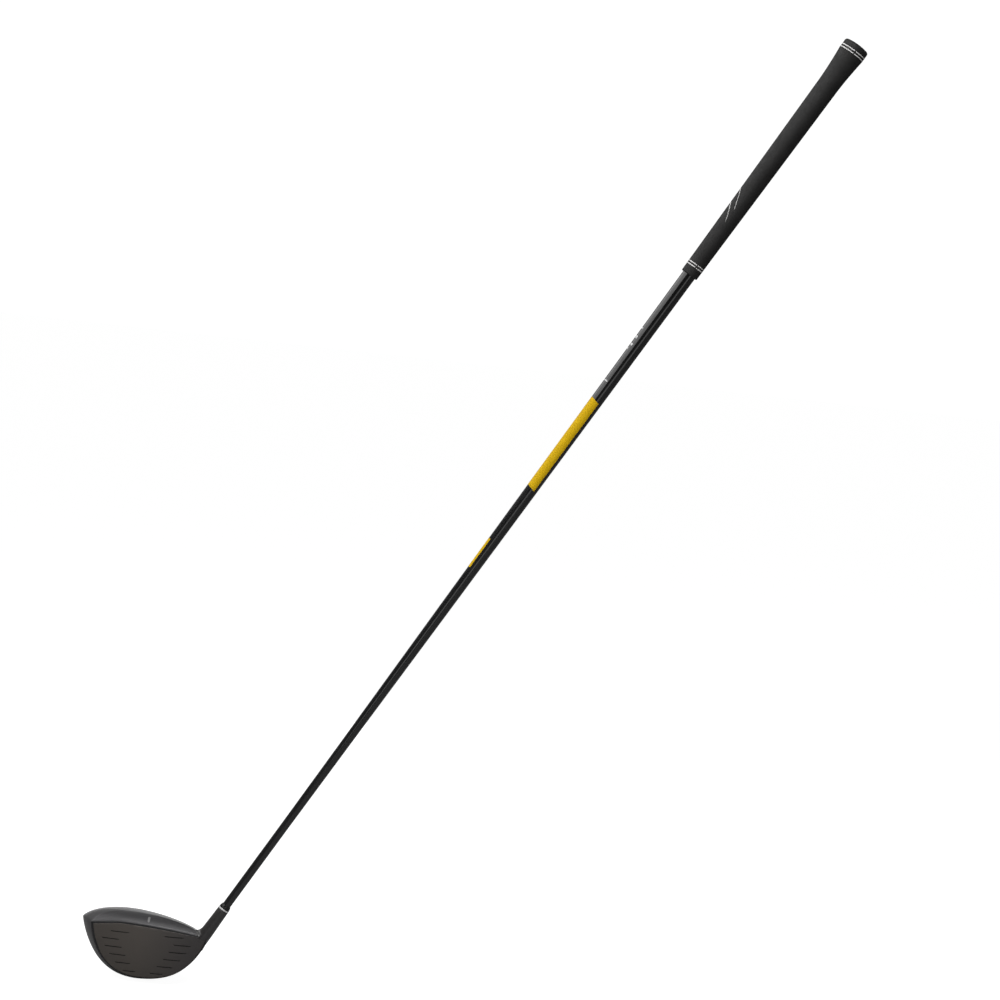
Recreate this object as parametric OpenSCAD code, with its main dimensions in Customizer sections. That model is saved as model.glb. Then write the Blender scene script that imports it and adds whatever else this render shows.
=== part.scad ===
// Golf driver, right-handed, resting on its sole in the address position.
// The origin is where the sole touches the ground. +X runs toward the heel and
// the grip, -Y is the target side that the face looks at, +Z is up.

/* [Club] */
// Length from the ground, along the shaft, to the end of the grip
club_length = 1161; // [970:1:1400]
// Lie angle between the shaft and the ground
lie = 60; // [55:0.5:65]
// Distance from the heel end of the head to the shaft axis
heel_inset = 4.6; // [4:0.1:7]
// Distance from the face, at its middle, back to the shaft axis
progression = 17; // [14:0.1:20]

/* [Head outline] */
// Reach of the head from its middle to the toe
toe_reach = 63.9; // [52:0.5:77]
// Reach of the head from its middle to the heel
heel_reach = 65; // [54:0.5:79]
// Reach of the head from its middle to the back
back_reach = 79; // [65:0.5:96]
// Reach of the outline ahead of the middle, before the face cuts it
front_reach = 61.4; // [56:0.5:72]
// How far the back of the outline leans toward the toe
outline_lean = 0.23; // [0.1:0.01:0.35]

/* [Head heights] */
// Top of the crown above the ground
crown_top = 66.8; // [64:0.1:81]
// Parting line height at the toe
toe_line = 54.2; // [50:0.1:56]
// Parting line height at the heel
heel_line = 49.4; // [46:0.1:52]
// Parting line height at the back
back_line = 38; // [32:0.1:45]
// Highest point of the face's top edge
face_top = 57.7; // [55.5:0.1:59]

/* [Face] */
// Loft of the face
loft = 10.5; // [8:0.5:13]
// Radius of the face from heel to toe
bulge = 305; // [255:1:366]
// Radius of the face from crown to sole
roll = 305; // [255:1:366]
// Thickness of the face plate
face_wall = 3; // [2.5:0.1:3.6]
// Width of the weld frame around the face plate
frame_w = 2.2; // [1.8:0.1:2.6]
// Spacing of the score line rows
row_gap = 7.4; // [6.2:0.1:8.8]
// Width of a score line
groove_w = 0.9; // [0.7:0.05:1.1]
// Depth of a score line
groove_depth = 0.5; // [0.4:0.05:0.6]

/* [Head walls] */
// Thickness of the crown and the sole shells
shell_wall = 0.9; // [0.75:0.05:1.1]
// Depth by which the sole's curve is cut away to leave its flat
sole_cut = 0.6; // [0.5:0.05:0.72]

/* [Hosel] */
// Outer diameter of the hosel at its top
hosel_d = 11.5; // [11:0.1:13.8]
// Outer diameter of the hosel where it enters the head
hosel_root_d = 13; // [12:0.1:15.6]
// Distance from the ground, along the shaft, to the top of the hosel
hosel_top = 92; // [86:0.5:102]
// Depth of the bore that holds the shaft
bore_depth = 36; // [30:1:38]
// Length of the solid root under the bore
root_len = 9; // [7.5:0.5:11]

/* [Shaft] */
// Diameter of the shaft at its tip
tip_d = 8.5; // [7.1:0.1:9.4]
// Diameter of the shaft at the mouth of the grip
mouth_shaft_d = 14.2; // [13:0.1:15]
// Diameter of the shaft at its butt
butt_d = 15.2; // [14.6:0.1:16]
// Length of the parallel part of the tip
tip_len = 140; // [115:1:165]
// Wall of the shaft at its tip
tip_wall = 2; // [1.7:0.1:2.4]
// Wall of the shaft at its butt
butt_wall = 0.8; // [0.7:0.05:1]
// Thickness of the bond between the shaft and the hosel
bond = 0.1; // [0.08:0.01:0.12]

/* [Ferrule] */
// Height of the silver ring on top of the hosel
ring_h = 1.6; // [1.4:0.1:1.9]
// Height of the black ferrule above the ring
ferrule_h = 4.2; // [3.5:0.1:5]
// Diameter of the ferrule at its upper end
ferrule_top_d = 9.4; // [9:0.1:10.2]

/* [Grip] */
// Length of the grip
grip_len = 282; // [240:1:338]
// Diameter of the grip at its mouth
mouth_d = 18; // [17:0.1:19.5]
// Diameter of the grip below the flare of its cap
upper_d = 22; // [20.5:0.1:24]
// Diameter of the grip cap
cap_d = 27; // [25.5:0.1:30]
// Length over which the grip flares out to its cap
flare_len = 42; // [35:1:50]
// Height of the cap
cap_h = 12.5; // [11.8:0.1:15]
// Thickness of the cap's end wall
cap_floor = 4.5; // [3.8:0.1:5.4]
// Diameter of the vent hole in the cap
vent_d = 3.2; // [2.7:0.1:3.8]
// Thickness of the tape under the grip
tape = 0.3; // [0.25:0.05:0.4]
// Depth of the painted rings and strokes
paint_depth = 0.35; // [0.3:0.05:0.45]

/* [Sole weight] */
// Diameter of the weight screw's head
weight_d = 12; // [10:0.1:14.4]
// Height of the weight screw's head
weight_h = 4; // [3.4:0.1:4.8]
// Size across the flats of the weight screw's key recess
key_w = 4.5; // [3.8:0.1:5.4]
// Wall of the boss around the weight screw
boss_wall = 1.6; // [1.4:0.1:1.9]

/* [Graphics] */
// Length of the yellow band on the shaft
band_len = 108; // [90:1:130]
// Distance from the ground, along the shaft, to the middle of the band
band_at = 669.5; // [600:0.5:740]
// Thickness of the printed bands on the shaft
print_t = 0.08; // [0.07:0.01:0.1]

/* [Hidden] */

$fn = 96;

// Middle of the head's outline, and the point under the top of the crown
mid = [2, -9];
crown_mid = [-18, -8.7];
// Middle of the face, and where its loft is measured
face_mid = [6, 30];
face_y = -36.65;
loft_z = 28;
front_line = 47.8;
face_top_x = -21.4;
// Powers of the outline: toe-back, heel-back, toe-front, heel-front
outline_n = [2.0, 1.85, 1.7, 2.8];
// Powers of the crown's section
crown_m = 2.44;
crown_n = 0.75;
// Powers of the sole's section at the toe, heel, back and front
sole_m = [2.34, 1.59, 2.4, 1.45];
sole_n = [1.27, 1.6, 1.8, 4.0];
// Powers of the face's top edge on the toe side and the heel side
top_n = [1.16, 1.93];

// Number of points around the back of the head and across its front
back_pts = 52;
front_pts = 30;
// Rings of the shells, from the middle to the rim
crown_rings = [0.12, 0.26, 0.42, 0.58, 0.72, 0.83, 0.91, 0.965];
sole_rings = [0.13, 0.2, 0.3, 0.41, 0.52, 0.64, 0.75, 0.84, 0.91, 0.96, 0.985];
plate_rings = [0.3, 0.55, 0.78];
bisect_steps = 22;

// A value that blends from the heel (0) through the back (90), toe (180), front (270)
function blend4(v, t) =
    (v[0] + v[1] + v[2] + v[3]) / 4
    + (v[1] - v[0]) / 2 * cos(t)
    + (v[2] - v[3]) / 2 * sin(t)
    + (v[0] + v[1] - v[2] - v[3]) / 4 * cos(2 * t);

// Superellipse radius at an angle, with its own half-size and power in each quarter
function outline_r(t) =
    let (c = cos(t), s = sin(t))
    let (a = c > 0 ? heel_reach : toe_reach, b = s > 0 ? back_reach : front_reach)
    let (n = outline_n[(c > 0 ? 1 : 0) + (s > 0 ? 0 : 2)])
    pow(pow(abs(c) / a, n) + pow(abs(s) / b, n), -1 / n);

// The parting line between the crown and the sole
function parting(t) =
    let (r = outline_r(t))
    [mid[0] + r * cos(t), mid[1] + r * sin(t) - outline_lean * r * cos(t),
        blend4([toe_line, heel_line, back_line, front_line], t)];

// The face, as its distance along Y
function face_at(x, z) =
    face_y + (z - loft_z) * tan(loft) + x * x / (2 * bulge)
    + (z - loft_z) * (z - loft_z) / (2 * roll);

function behind_face(p) = p[1] >= face_at(p[0], p[2]);

// The sole at a share f of the way out to the parting line
function sole_at(f, t) =
    let (p = parting(t), m = blend4(sole_m, t), n = blend4(sole_n, t))
    let (lift = 1 - pow(max(0, 1 - pow(f, m)), 1 / n))
    [f * p[0], f * p[1], max(0, (p[2] + sole_cut) * lift - sole_cut)];

// Share of the way out at which the sole meets the face
function sole_reach(t, lo = 0.1, hi = 1, k = bisect_steps) =
    k == 0 ? lo
    : let (m = (lo + hi) / 2)
      behind_face(sole_at(m, t)) ? sole_reach(t, m, hi, k - 1) : sole_reach(t, lo, m, k - 1);

// Angle at which the parting line meets the face, between one behind and one ahead
function corner_angle(back, front, k = bisect_steps) =
    k == 0 ? back
    : let (m = (back + front) / 2)
      behind_face(parting(m)) ? corner_angle(m, front, k - 1) : corner_angle(back, m, k - 1);

toe_angle = corner_angle(180, 270);
heel_angle = corner_angle(430, 270);
toe_corner = parting(toe_angle);
heel_corner = parting(heel_angle);

// Angles around the back, from the heel corner to the toe corner
back_angles = [for (i = [0:back_pts - 1])
    heel_angle - 360 + (toe_angle - heel_angle + 360) * i / back_pts];
// Angles across the front, from the toe corner on, closer together near the corners
front_angles = [for (i = [0:front_pts - 1])
    toe_angle + (heel_angle - toe_angle) * (1 - cos(180 * i / front_pts)) / 2];

// Height of the face's top edge
function top_z(x) =
    let (toe_side = x < face_top_x)
    let (c = toe_side ? toe_corner : heel_corner, n = toe_side ? top_n[0] : top_n[1])
    let (u = (x - face_top_x) / (c[0] - face_top_x))
    face_top - (face_top - c[2]) * pow(min(1, max(0, u)), n);

// The face's top edge, from the toe corner toward the heel corner
top_edge = [for (i = [0:front_pts - 1])
    let (x = toe_corner[0] + (heel_corner[0] - toe_corner[0]) * i / front_pts, z = top_z(x))
    [x, face_at(x, z), z]];
// The face's toe, bottom and heel edge, from the toe corner toward the heel corner
low_edge = [for (t = front_angles) sole_at(sole_reach(t), t)];

back_rim = [for (t = back_angles) parting(t)];
crown_rim = concat(back_rim, top_edge);
sole_rim = concat(back_rim, low_edge);
// The face's whole edge: along the top to the heel, then back along the bottom
face_edge = concat(top_edge, [heel_corner], [for (i = [front_pts - 1:-1:1]) low_edge[i]]);

// A point of the face at a share f of the way from its middle to a point on its edge
function face_point(p, f) =
    let (x = face_mid[0] + f * (p[0] - face_mid[0]), z = face_mid[1] + f * (p[2] - face_mid[1]))
    [x, face_at(x, z), z];
// The same, a distance d inside the edge
function face_inset(p, d) =
    let (r = norm([p[0] - face_mid[0], p[2] - face_mid[1]]))
    face_point(p, 1 - d / r);

function raise_y(pts, d) = [for (p = pts) p + [0, d, 0]];

// The shells are thickened toward this point inside the head
core = [0, 0, 30];
function inward(p) = core + (p - core) * (1 - shell_wall / norm(p - core));
// On the parting line the wall is level, and along the face it follows the face
function rim_in(p, i) =
    i >= back_pts ? face_inset(p, shell_wall)
    : let (q = [p[0] - mid[0], p[1] - mid[1]])
      [p[0] - shell_wall * q[0] / norm(q), p[1] - shell_wall * q[1] / norm(q), p[2]];

// Triangles that join ring after ring of m points, wound one way
function band(a, b, m) = [for (i = [0:m - 1])
    let (j = (i + 1) % m)
    each [[a + i, b + i, b + j], [a + i, b + j, a + j]]];

// A closed skin through rings of equal length, from one pole to another
module skin(first, rings, last) {
    m = len(rings[0]);
    n = len(rings);
    pts = concat([first], [for (r = rings) each r], [last]);
    fan_in = [for (i = [0:m - 1]) [0, 1 + i, 1 + (i + 1) % m]];
    fan_out = [for (i = [0:m - 1]) [1 + n * m, 1 + (n - 1) * m + (i + 1) % m, 1 + (n - 1) * m + i]];
    bands = [for (k = [0:n - 2]) each band(1 + k * m, 1 + (k + 1) * m, m)];
    polyhedron(points = pts, faces = concat(fan_in, bands, fan_out));
}

// A closed skin through rings that come back to the first one
module hoop(rings) {
    m = len(rings[0]);
    n = len(rings);
    polyhedron(points = [for (r = rings) each r],
        faces = [for (k = [0:n - 1]) each band(k * m, ((k + 1) % n) * m, m)]);
}

// Shaft axis: places its children so that +Z runs up the shaft from the ground
shaft_x = mid[0] + heel_reach - heel_inset - heel_line / tan(lie);
shaft_y = face_y + progression;
module on_shaft(up = 0) {
    translate([shaft_x, shaft_y, 0])
        rotate([0, 90 - lie, 0])
            translate([0, 0, up])
                children();
}

// A shape turned about the shaft axis from points [distance up, radius]
module turned(pts) {
    on_shaft()
        rotate_extrude()
            polygon([for (p = pts) [p[1], p[0]]]);
}

// ---- Head ----

hosel_low = hosel_top - bore_depth - root_len;
hosel_root_top = hosel_low + root_len + 8;
bore_r = tip_d / 2 + bond;
tip_at = hosel_top - bore_depth;

module hosel_body() {
    turned([[hosel_low, 0], [hosel_low, hosel_root_d / 2], [hosel_root_top, hosel_root_d / 2],
        [hosel_top, hosel_d / 2], [hosel_top, 0]]);
}

module hosel() {
    color("#1b1b1d")
        difference() {
            hosel_body();
            on_shaft(tip_at)
                cylinder(h = bore_depth + 1, r = bore_r);
        }
}

// Rows of score lines: where each line starts and ends to either side of the middle one,
// as shares of half the head's length
groove_rows = [[0.28, 0.565], [0.425, 0.69], [0.37, 0.635], [0.295, 0.55], [0.21, 0.44], [0.115, 0.31]];
groove_unit = (toe_reach + heel_reach) / 2;
groove_mid = 7.5;
groove_high = 48.2;

module score_lines() {
    for (i = [0:len(groove_rows) - 1], side = [-1, 1]) {
        row = groove_rows[i] * groove_unit;
        z = groove_high - i * row_gap;
        x = groove_mid + side * (row[0] + row[1]) / 2;
        translate([x, face_at(x, z), z])
            rotate([-loft, 0, atan(x / bulge)])
                cube([row[1] - row[0], 2 * groove_depth, groove_w], center = true);
    }
}

plate_edge = [for (p = face_edge) face_inset(p, shell_wall + frame_w)];

module face_plate() {
    front = concat([for (f = plate_rings) [for (p = plate_edge) face_point(p, f)]], [plate_edge]);
    back = [for (i = [len(front) - 1:-1:0]) raise_y(front[i], face_wall)];
    pole = [face_mid[0], face_at(face_mid[0], face_mid[1]), face_mid[1]];
    color("#45403b")
        difference() {
            skin(pole, concat(front, back), pole + [0, face_wall, 0]);
            score_lines();
            hosel_body();
        }
}

module face_frame() {
    outer = [for (p = face_edge) face_inset(p, shell_wall)];
    color("#2a2a2c")
        difference() {
            hoop([plate_edge, outer, raise_y(outer, face_wall), raise_y(plate_edge, face_wall)]);
            hosel_body();
        }
}

module crown_plate() {
    top = [crown_mid[0], crown_mid[1], crown_top];
    outside = concat([for (f = crown_rings) [for (p = crown_rim) crown_at(p, f)]], [crown_rim]);
    inside = concat([[for (i = [0:len(crown_rim) - 1]) rim_in(crown_rim[i], i)]],
        [for (k = [len(crown_rings) - 1:-1:0]) [for (p = crown_rim) inward(crown_at(p, crown_rings[k]))]]);
    color("#47454a")
        difference() {
            skin(top, concat(outside, inside), inward(top));
            hosel_body();
            mark_body();
        }
}

// The crown at a share f of the way from its top to a point on its rim
function crown_at(p, f) =
    let (h = pow(1 - pow(f, crown_m), crown_n))
    [crown_mid[0] + f * (p[0] - crown_mid[0]), crown_mid[1] + f * (p[1] - crown_mid[1]),
        p[2] + (crown_top - p[2]) * h];

// Share of the way out along each of the sole's lines at which it stops
sole_limit = concat([for (t = back_angles) 1], [for (t = front_angles) sole_reach(t)]);
sole_angles = concat(back_angles, front_angles);

module sole_shell() {
    outside = concat([for (f = sole_rings) [for (i = [0:len(sole_angles) - 1])
        sole_at(f * sole_limit[i], sole_angles[i])]], [sole_rim]);
    inside = concat([[for (i = [0:len(sole_rim) - 1]) rim_in(sole_rim[i], i)]],
        [for (k = [len(outside) - 2:-1:0]) [for (p = outside[k]) inward(p)]]);
    color("#3d3d40")
        difference() {
            skin([0, 0, 0], concat(outside, inside), inward([0, 0, 0]));
            hosel_body();
            weight_hole();
        }
}

// ---- Pieces in the head ----

// The weight screw sits where the sole rises toward the back, square to the sole there
weight_share = 0.6;
weight_step = 0.02;
shank_len = 5;
shank_share = 0.5;
boss_h = weight_h + shank_len + boss_wall;
weight_low = sole_at(weight_share - weight_step, 90);
weight_high = sole_at(weight_share + weight_step, 90);
weight_tilt = atan((weight_high[2] - weight_low[2]) / (weight_high[1] - weight_low[1]));
boss_r = weight_d / 2 + boss_wall;

module at_weight() {
    translate(sole_at(weight_share, 90))
        rotate([weight_tilt, 0, 0])
            children();
}

module weight_hole() {
    at_weight()
        translate([0, 0, -boss_h / 2])
            cylinder(h = 2 * boss_h, r = boss_r);
}

module weight_boss() {
    color("#55555a")
        at_weight()
            difference() {
                cylinder(h = boss_h, r = boss_r);
                translate([0, 0, -1])
                    cylinder(h = weight_h + 1, d = weight_d);
                cylinder(h = weight_h + shank_len, d = shank_share * weight_d);
            }
}

module weight_screw() {
    color("#8a8a8e")
        at_weight()
            difference() {
                union() {
                    cylinder(h = weight_h, d = weight_d);
                    cylinder(h = weight_h + shank_len, d = shank_share * weight_d);
                }
                translate([0, 0, -1])
                    cylinder(h = 0.6 * weight_h + 1, d = key_w / cos(30), $fn = 6);
            }
}

// A blob of tacky glue on the inside of the sole, behind the toe
pad_angle = 150;
pad_share = 0.5;
pad_spread = [0.16, 14];
pad_h = 3;
pad_gap = 0.25;
pad_turns = [0:20:340];
pad_rings = [0.4, 0.75, 1];

function pad_point(f, a, lift) =
    let (p = inward(sole_at(pad_share + f * pad_spread[0] * cos(a), pad_angle + f * pad_spread[1] * sin(a))))
    p + [0, 0, pad_gap + lift];

module rattle_pad() {
    low = [for (f = pad_rings) [for (a = pad_turns) pad_point(f, a, 0)]];
    high = [for (k = [len(pad_rings) - 1:-1:0]) [for (a = pad_turns)
        pad_point(pad_rings[k], a, pad_h * (1.15 - pad_rings[k] * pad_rings[k]))]];
    color("#c9b98a")
        skin(pad_point(0, 0, 0), concat(low, high), pad_point(0, 0, 1.15 * pad_h));
}

// The alignment mark is a filled pocket in the crown behind the face
mark_at = 17;
mark_share = 0.74;
mark_step = 0.02;
mark_size = [2, 6];
mark_depth = 0.35;
mark_p = crown_at(top_edge[mark_at], mark_share);
mark_u = crown_at(top_edge[mark_at + 1], mark_share) - crown_at(top_edge[mark_at - 1], mark_share);
mark_v = crown_at(top_edge[mark_at], mark_share - mark_step)
    - crown_at(top_edge[mark_at], mark_share + mark_step);
mark_n = cross(mark_u, mark_v) / norm(cross(mark_u, mark_v));

module mark_body() {
    translate(mark_p)
        rotate([asin(-mark_n[1]), atan(mark_n[0] / mark_n[2]), 0])
            translate([0, 0, -mark_depth])
                linear_extrude(mark_depth + 0.05)
                    union() {
                        square(mark_size, center = true);
                        for (y = [-1, 1])
                            translate([0, y * mark_size[1] / 2])
                                circle(d = mark_size[0]);
                    }
}

module alignment_mark() {
    color("white")
        mark_body();
}

// ---- Shaft and ferrule ----

shaft_end = club_length - cap_floor;
mouth_at = club_length - grip_len;
// Share of the taper's length and of its growth, up to the mouth of the grip
taper = [[0, 0], [0.15, 0.14], [0.39, 0.45], [0.57, 0.64], [0.88, 0.9], [1, 1]];
taper_from = tip_at + tip_len;
shaft_pts = concat([[tip_at, tip_d / 2]],
    [for (q = taper) [taper_from + q[0] * (mouth_at - taper_from), (tip_d + q[1] * (mouth_shaft_d - tip_d)) / 2]],
    [[shaft_end, butt_d / 2]]);

// Radius of the shaft at a distance up from the ground
function shaft_r(up) = lookup(up, shaft_pts);
function wall_at(up) = tip_wall + (butt_wall - tip_wall) * (up - tip_at) / (shaft_end - tip_at);

module shaft() {
    bore = [for (i = [len(shaft_pts) - 1:-1:0]) let (p = shaft_pts[i]) [p[0], p[1] - wall_at(p[0])]];
    color("#141416")
        turned(concat(shaft_pts, bore));
}

// The plug keeps the bond out of the shaft
plug_len = 8;
module tip_plug() {
    color("#b08a5a")
        turned([[tip_at, 0], [tip_at, tip_d / 2 - tip_wall],
            [tip_at + plug_len, shaft_r(tip_at + plug_len) - wall_at(tip_at + plug_len)],
            [tip_at + plug_len, 0]]);
}

module hosel_bond() {
    color("#c8c0a0")
        turned([[tip_at, tip_d / 2], [tip_at, bore_r], [hosel_top, bore_r], [hosel_top, tip_d / 2]]);
}

module ferrule_ring() {
    color("silver")
        turned([[hosel_top, tip_d / 2], [hosel_top, hosel_d / 2],
            [hosel_top + ring_h, hosel_d / 2 - 0.1], [hosel_top + ring_h, tip_d / 2]]);
}

module ferrule() {
    low = hosel_top + ring_h;
    shoulder = 0.35 * ferrule_h;
    color("#101011")
        turned([[low, tip_d / 2], [low, hosel_d / 2 - 0.1],
            [low + shoulder, hosel_d / 2 - 0.35],
            [low + 2 * shoulder, (hosel_d / 2 + ferrule_top_d / 2) / 2 - 0.15],
            [low + ferrule_h, ferrule_top_d / 2], [low + ferrule_h, tip_d / 2]]);
}

// ---- Prints on the shaft ----

// Angles about the shaft: 180 is the toe side, 270 faces the target
band_from = 120;
band_to = 298;
band_slant = 14;

// A thin skin on the shaft between two heights and two angles
module print_skin(low, high, from, to) {
    inner = concat([[low, shaft_r(low)]], [for (p = shaft_pts) if (p[0] > low && p[0] < high) p],
        [[high, shaft_r(high)]]);
    outer = [for (i = [len(inner) - 1:-1:0]) inner[i] + [0, print_t]];
    on_shaft()
        rotate([0, 0, from])
            rotate_extrude(angle = to - from)
                polygon([for (p = concat(inner, outer)) [p[1], p[0]]]);
}

module shaft_band() {
    drop = tan(band_slant) * butt_d;
    color("#d9b80a")
        intersection() {
            print_skin(band_at - band_len / 2 - drop, band_at + band_len / 2 + drop, band_from, band_to);
            on_shaft(band_at)
                rotate([90, 0, 0])
                    linear_extrude(2 * butt_d, center = true)
                        polygon([[-butt_d, drop - band_len / 2], [butt_d, -drop - band_len / 2],
                            [butt_d, band_len / 2 - drop], [-butt_d, band_len / 2 + drop]]);
        }
}

bar_len = 35;
bar_gap = 64.5;
bar_turn = [178, 228];
module shaft_bar() {
    high = band_at - band_len / 2 - bar_gap;
    color("#d9b80a")
        print_skin(high - bar_len, high, bar_turn[0], bar_turn[1]);
}

// Plain dashes above the band: distance above it, length, and the angles where each starts and ends
dashes = [[22, 1.3, 186, 243], [60, 2.5, 184, 206], [65.5, 2.2, 200, 228], [74, 3, 190, 222],
    [85, 1.6, 184, 212]];
module shaft_dashes() {
    color("white")
        for (d = dashes) {
            low = band_at + band_len / 2 + d[0];
            print_skin(low, low + d[1], d[2], d[3]);
        }
}

// ---- Grip ----

cap_at = club_length - cap_h;
sleeve_r = [[mouth_at, mouth_d / 2 - 0.9], [mouth_at + 1.2, mouth_d / 2],
    [cap_at - flare_len, upper_d / 2], [cap_at - 0.62 * flare_len, upper_d / 2 + 0.16 * (cap_d - upper_d) / 2],
    [cap_at - 0.3 * flare_len, upper_d / 2 + 0.58 * (cap_d - upper_d) / 2],
    [cap_at, cap_d / 2]];
function grip_r(up) = lookup(up, sleeve_r);
// Centres of the painted rings: up from the mouth, and down from the end
mouth_ring_at = [9.4, 12.3];
cap_ring_at = [8.1, 11];
ring_w = 0.9;

// The rim of the cap is rounded, and its end rises in a shallow dome to a flat round the vent hole
cap_round = 2.6;
cap_dome = 1.2;
cap_flat = 3;
rim_turn = 78;
rim_base = club_length - cap_dome - cap_round * sin(rim_turn);
dome_r = cap_d / 2 - cap_round * (1 - cos(rim_turn));
cap_profile = concat([[cap_at, cap_d / 2]],
    [for (a = [0:13:rim_turn]) [rim_base + cap_round * sin(a), cap_d / 2 - cap_round * (1 - cos(a))]],
    [for (u = [0.25:0.25:1]) [club_length - cap_dome * (1 - u) * (1 - u), dome_r + u * (cap_flat - dome_r)]]);

module ring_set(ups, r_low, r_high) {
    for (up = ups)
        turned([[up - ring_w / 2, r_low], [up - ring_w / 2, r_high], [up + ring_w / 2, r_high],
            [up + ring_w / 2, r_low]]);
}

module grip_tape() {
    color("#d8d2c0")
        turned([[mouth_at + 2, shaft_r(mouth_at + 2)], [shaft_end, butt_d / 2],
            [shaft_end, butt_d / 2 + tape], [mouth_at + 2, shaft_r(mouth_at + 2) + tape]]);
}

module grip_sleeve() {
    low_r = shaft_r(mouth_at);
    color("#2b2a2a")
        difference() {
            turned(concat([[mouth_at, low_r]], sleeve_r,
                [[cap_at, shaft_r(cap_at) + tape], [mouth_at + 2, shaft_r(mouth_at + 2) + tape],
                    [mouth_at + 2, shaft_r(mouth_at + 2)]]));
            ring_set([for (d = mouth_ring_at) mouth_at + d], mouth_d / 2 - paint_depth, mouth_d);
        }
}

module grip_cap() {
    color("#2b2a2a")
        difference() {
            turned(concat([[cap_at, shaft_r(cap_at) + tape]], cap_profile,
                [[club_length, 0], [shaft_end, 0], [shaft_end, butt_d / 2 + tape]]));
            on_shaft(shaft_end - 1)
                cylinder(h = cap_floor + 2, d = vent_d);
            ring_set([for (d = cap_ring_at) club_length - d], cap_d / 2 - paint_depth, cap_d);
        }
}

module cap_rings() {
    color("white")
        ring_set([for (d = cap_ring_at) club_length - d], cap_d / 2 - paint_depth, cap_d / 2);
}

module mouth_rings() {
    color("white")
        ring_set([for (d = mouth_ring_at) mouth_at + d], mouth_d / 2 - paint_depth, mouth_d / 2 + 0.05);
}

// Two raised strokes that climb around to the toe side of the grip, steeply at first
stroke_ups = [[62.5, 82.8], [76.2, 99.5]];
stroke_turns = [258, 180];
stroke_steps = 9;
stroke_w = 1.3;
stroke_t = 0.15;
function stroke_ring(i, lo, hi) =
    let (u = i / stroke_steps, a = stroke_turns[0] + u * (stroke_turns[1] - stroke_turns[0]))
    let (up = mouth_at + hi - (1 - u) * (1 - u) * (hi - lo))
    [for (q = [[-1, 0], [1, 0], [1, 1], [-1, 1]])
        let (z = up + q[0] * stroke_w / 2, r = grip_r(z) + q[1] * stroke_t)
        [r * cos(a), r * sin(a), z]];

module grip_strokes() {
    color("white")
        on_shaft()
            for (s = stroke_ups) {
                rings = [for (i = [0:stroke_steps]) stroke_ring(i, s[0], s[1])];
                skin(mid_point(rings[0]), rings, mid_point(rings[stroke_steps]));
            }
}
function mid_point(r) = (r[0] + r[1] + r[2] + r[3]) / 4;

face_plate();
face_frame();
crown_plate();
sole_shell();
hosel();
weight_boss();
weight_screw();
rattle_pad();
alignment_mark();
hosel_bond();
ferrule_ring();
ferrule();
shaft();
tip_plug();
shaft_band();
shaft_bar();
shaft_dashes();
grip_tape();
grip_sleeve();
grip_cap();
cap_rings();
mouth_rings();
grip_strokes();
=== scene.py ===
"""A right-handed golf driver, resting on its sole in the address position."""

import bmesh
import bpy
import numpy as np
from mathutils import Matrix, Vector
from mathutils.bvhtree import BVHTree


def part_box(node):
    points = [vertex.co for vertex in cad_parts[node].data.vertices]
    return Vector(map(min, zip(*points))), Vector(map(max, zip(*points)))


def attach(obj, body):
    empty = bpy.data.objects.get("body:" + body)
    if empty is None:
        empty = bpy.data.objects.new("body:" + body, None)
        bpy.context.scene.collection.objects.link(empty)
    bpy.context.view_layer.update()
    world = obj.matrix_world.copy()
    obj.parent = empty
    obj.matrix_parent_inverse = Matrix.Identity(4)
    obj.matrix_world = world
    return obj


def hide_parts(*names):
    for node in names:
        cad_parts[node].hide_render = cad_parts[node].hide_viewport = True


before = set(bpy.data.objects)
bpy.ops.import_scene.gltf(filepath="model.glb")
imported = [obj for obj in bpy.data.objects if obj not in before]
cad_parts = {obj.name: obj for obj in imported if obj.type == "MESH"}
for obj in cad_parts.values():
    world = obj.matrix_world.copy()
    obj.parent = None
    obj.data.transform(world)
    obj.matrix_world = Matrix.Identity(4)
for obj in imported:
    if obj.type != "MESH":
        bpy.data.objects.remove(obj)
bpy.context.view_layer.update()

# ---- Camera ----
# A long lens nearly four metres out on the target side, a little below the grip and rolled,
# so that the club leans over to the right.
camera_place = Vector((0.33824, -3.89484, 0.71421))
camera_turn = -0.00701
camera_pitch = -0.05044
camera_roll = 0.10855
camera_lens = 140.25
camera_film = 36
camera_reach = 100

camera = bpy.data.objects.new("camera", bpy.data.cameras.new("camera"))
bpy.context.scene.collection.objects.link(camera)
camera.data.sensor_width = camera_film
camera.data.lens = camera_lens
camera.data.clip_end = camera_reach
camera.matrix_world = (
    Matrix.Translation(camera_place)
    @ Matrix.Rotation(-camera_turn, 4, "Z")
    @ Matrix.Rotation(np.pi / 2 + camera_pitch, 4, "X")
    @ Matrix.Rotation(camera_roll, 4, "Z")
)
bpy.context.scene.camera = camera

# ---- Sole and skirt ----
# The lower shell of the head, cast in titanium 0.9 mm thick and painted grey-black. It carries
# the small flat that the club rests on. A round hole near the back takes the weight's boss.
head_mid = np.array([0.002, -0.009])
toe_reach = 0.0639
heel_reach = 0.065
back_reach = 0.079
front_reach = 0.0614
outline_lean = 0.23
outline_powers = {"toe_back": 2.0, "heel_back": 1.85, "toe_front": 1.7, "heel_front": 2.8}
parting_heights = (0.0542, 0.0494, 0.038, 0.0478)
sole_powers_out = (2.34, 1.59, 2.4, 1.45)
sole_powers_in = (1.27, 1.6, 1.8, 4.0)
sole_cut = 0.0006
shell_wall = 0.0009
head_core = np.array([0, 0, 0.030])
loft = np.radians(10.5)
face_radius = 0.305
face_place = -0.03665
face_level = 0.028
back_count = 300
front_count = 160
sole_rows = 80
sole_first_share = 0.07
sole_crowding = 1.8
inner_every = 5
past_heel = 0.89 * np.pi


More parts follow.
